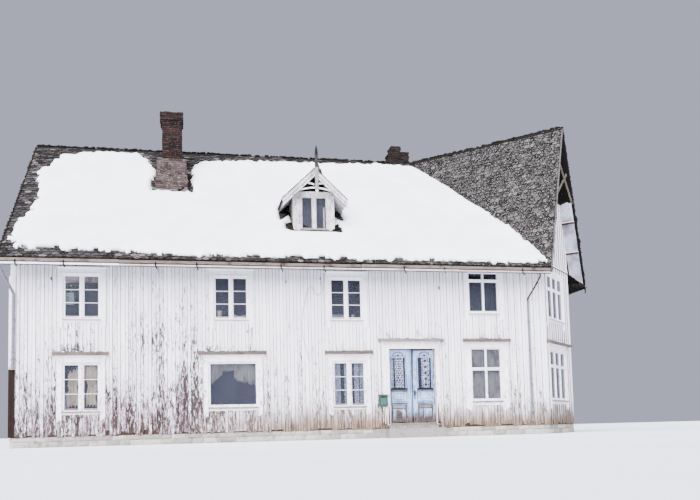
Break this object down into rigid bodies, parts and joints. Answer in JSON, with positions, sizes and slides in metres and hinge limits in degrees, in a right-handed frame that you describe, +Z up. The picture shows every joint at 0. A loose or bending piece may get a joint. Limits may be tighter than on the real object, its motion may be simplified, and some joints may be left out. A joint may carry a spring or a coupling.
{
  "type": "two-storey timber farmhouse",
  "caption": "White board-clad timber farmhouse with a slate roof, a dormer, brick chimneys, a pale blue double door and a canted corner under a steep gable.",
  "frame": {"origin": "middle of the foot of the stone foundation's bounding box", "axes": "+X along the front wall to its canted end, the front wall faces -Y, +Z up"},
  "size_m": [19.7356, 11.464, 11.699],
  "materials": {
    "painted_wood": "flaking white paint on sawn boards",
    "trim_wood": "worn white paint",
    "weathered_wood": "bare grey weathered wood",
    "floor_wood": "worn bare boards",
    "door_wood": "pale blue flaking paint",
    "slate": "slate with pale lichen",
    "brick": "weathered brick and mortar",
    "stone": "rough grey stone",
    "snow": "settled snow",
    "glass": "old window glass",
    "rusty_steel": "rusty sheet steel",
    "green_metal": "green enamel",
    "cable_sheath": "old dark cable sheath"
  },
  "bodies": {
    "house": {"front_wall_left": "painted_wood", "front_wall_over_door": "painted_wood", "front_wall_right": "painted_wood", "left_gable_wall": "painted_wood", "back_wall": "painted_wood", "right_wall": "painted_wood", "corner_wall": "painted_wood", "window_upper_1": "trim_wood", "window_upper_2": "trim_wood", "window_upper_3": "trim_wood", "window_upper_4": "trim_wood", "window_lower_1": "trim_wood", "window_lower_2": "trim_wood", "window_lower_3": "trim_wood", "window_lower_4": "trim_wood", "corner_window_upper": "trim_wood", "corner_window_lower": "trim_wood", "door_frame": "trim_wood", "left_barge_boards": "trim_wood", "dormer_walls": "trim_wood", "eave_fascia_front": "weathered_wood", "eave_fascia_rear": "weathered_wood", "corner_gable_frame": "weathered_wood", "dormer_gable_frame": "weathered_wood", "door_sill": "weathered_wood", "ground_floor": "floor_wood", "upper_floor": "floor_wood", "attic_floor": "floor_wood", "roof_front": "slate", "roof_back": "slate", "roof_right": "slate", "corner_roof_left": "slate", "corner_roof_right": "slate", "dormer_roof": "slate", "chimney_stack": "brick", "chimney_stub": "brick", "foundation": "stone", "door_step": "stone", "roof_snow": "snow", "front_glass_upper": "glass", "front_glass_lower_left": "glass", "front_glass_lower_right": "glass", "corner_glass_upper": "glass", "corner_glass_lower": "glass", "left_glass_lower": "glass", "left_glass_upper": "glass", "right_glass_lower": "glass", "right_glass_upper": "glass", "back_glass_lower": "glass", "back_glass_upper": "glass", "dormer_glass": "glass", "left_downpipe": "rusty_steel", "right_downpipe": "rusty_steel", "wire_hook": "rusty_steel", "mailbox": "green_metal", "service_wire": "cable_sheath"},
    "left_door": {"door_leaf_left": "door_wood", "door_glass_left": "glass"},
    "right_door": {"door_leaf_right": "door_wood", "door_glass_right": "glass"}
  },
  "joints": [
    {"name": "left_door_hinge", "type": "hinge", "parent": "house", "child": "left_door", "pos_m": [1.77515, -4.809, 1.65], "axis": [0, 0, 1], "range_deg": [0, 95]},
    {"name": "right_door_hinge", "type": "hinge", "parent": "house", "child": "right_door", "pos_m": [3.31915, -4.809, 1.65], "axis": [0, 0, -1], "range_deg": [0, 95]}
  ]
}
